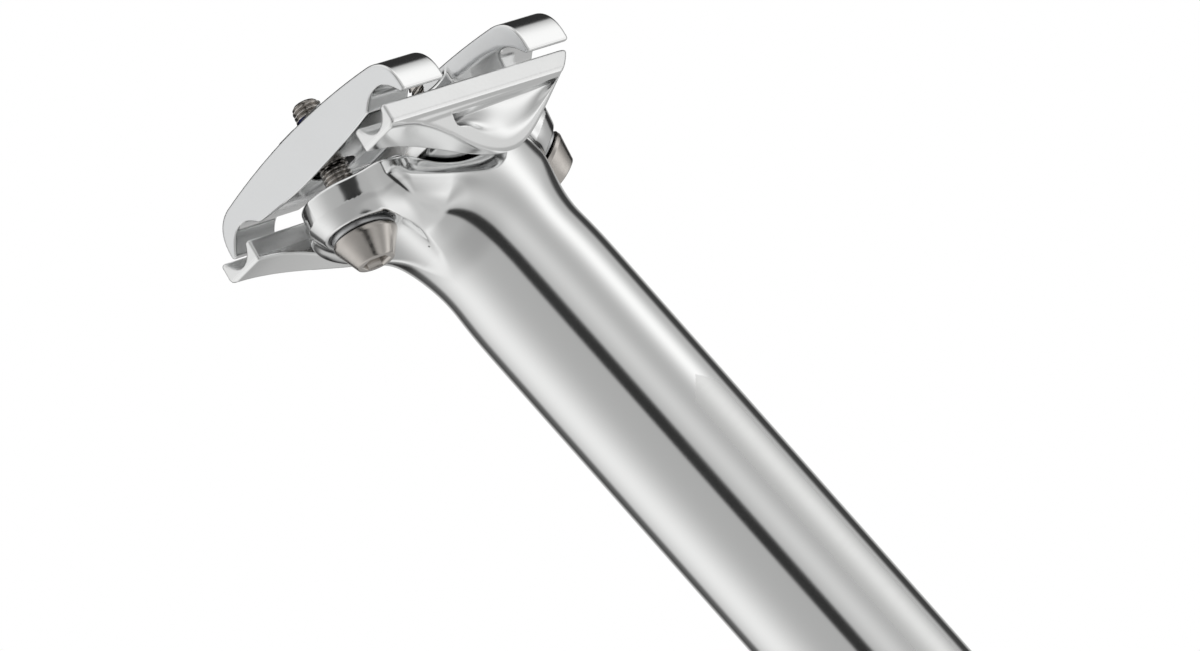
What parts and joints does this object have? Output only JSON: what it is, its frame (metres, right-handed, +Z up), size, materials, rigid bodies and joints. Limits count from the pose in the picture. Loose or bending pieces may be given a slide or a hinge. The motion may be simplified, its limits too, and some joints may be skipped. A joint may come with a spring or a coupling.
{
  "type": "bicycle seatpost",
  "caption": "Rigid two-bolt seatpost: forged round tube and head, tilting rail cradle, one-piece upper clamp, conical-head bolts, ball-seat washers and barrel nuts.",
  "frame": {"origin": "on the tube axis, in the parting plane of the rail clamp: the flat top of the lower cradle", "axes": "+Z up along the tube, +Y to the front of the bicycle, +X to the rider's right"},
  "size_m": [0.0552, 0.0535, 0.3681],
  "materials": {
    "polished_aluminium": "mirror-polished forged aluminium, softly hazed",
    "satin_aluminium": "polished aluminium with satin flat faces",
    "bolt_steel": "turned and polished, slightly warm grey",
    "plated_steel": "plated, machined"
  },
  "bodies": {
    "post": {"post": "polished_aluminium"},
    "cradle": {"lower_cradle": "polished_aluminium"},
    "clamp": {"upper_clamp": "satin_aluminium"},
    "rear_washer": {"rear_ball_washer": "plated_steel"},
    "front_washer": {"front_ball_washer": "plated_steel"},
    "rear_bolt": {"rear_bolt": "bolt_steel"},
    "front_bolt": {"front_bolt": "bolt_steel"},
    "rear_nut": {"rear_barrel_nut": "plated_steel"},
    "front_nut": {"front_barrel_nut": "plated_steel"}
  },
  "joints": [
    {"name": "clamp_tilt", "type": "hinge", "parent": "post", "child": "cradle", "pos_m": [0, 0, 0.0125], "axis": [1, 0, 0], "range_deg": [-8, 6]},
    {"name": "clamp_open", "type": "slide", "parent": "cradle", "child": "clamp", "axis": [0, 0, 1], "range_m": [0, 0.0008]},
    {"name": "rear_washer_swing", "type": "hinge", "parent": "post", "child": "rear_washer", "pos_m": [0, -0.02337, -0.00854], "axis": [1, 0, 0], "range_deg": [-1.6, 2.1]},
    {"name": "front_washer_swing", "type": "hinge", "parent": "post", "child": "front_washer", "pos_m": [0, 0.02106, -0.0164], "axis": [1, 0, 0], "range_deg": [-3.3, 4.4]},
    {"name": "rear_bolt_turn", "type": "hinge", "parent": "rear_washer", "child": "rear_bolt", "pos_m": [0, -0.02337, -0.00854], "axis": [0, 0.3862, 0.9224], "continuous": true},
    {"name": "front_bolt_turn", "type": "hinge", "parent": "front_washer", "child": "front_bolt", "pos_m": [0, 0.02106, -0.0164], "axis": [0, -0.3803, 0.9249], "continuous": true},
    {"name": "rear_nut_swivel", "type": "hinge", "parent": "clamp", "child": "rear_nut", "pos_m": [0, -0.01473, 0.01212], "axis": [1, 0, 0], "range_deg": [-7.6, 10.1]},
    {"name": "front_nut_swivel", "type": "hinge", "parent": "clamp", "child": "front_nut", "pos_m": [0, 0.01238, 0.0047], "axis": [1, 0, 0], "range_deg": [-9.3, 12.4]}
  ],
  "couplings": [
    {"joint": "rear_washer_swing", "follows": "clamp_tilt", "ratio": -0.25},
    {"joint": "front_washer_swing", "follows": "clamp_tilt", "ratio": -0.54},
    {"joint": "rear_nut_swivel", "follows": "clamp_tilt", "ratio": -1.25},
    {"joint": "front_nut_swivel", "follows": "clamp_tilt", "ratio": -1.54}
  ]
}
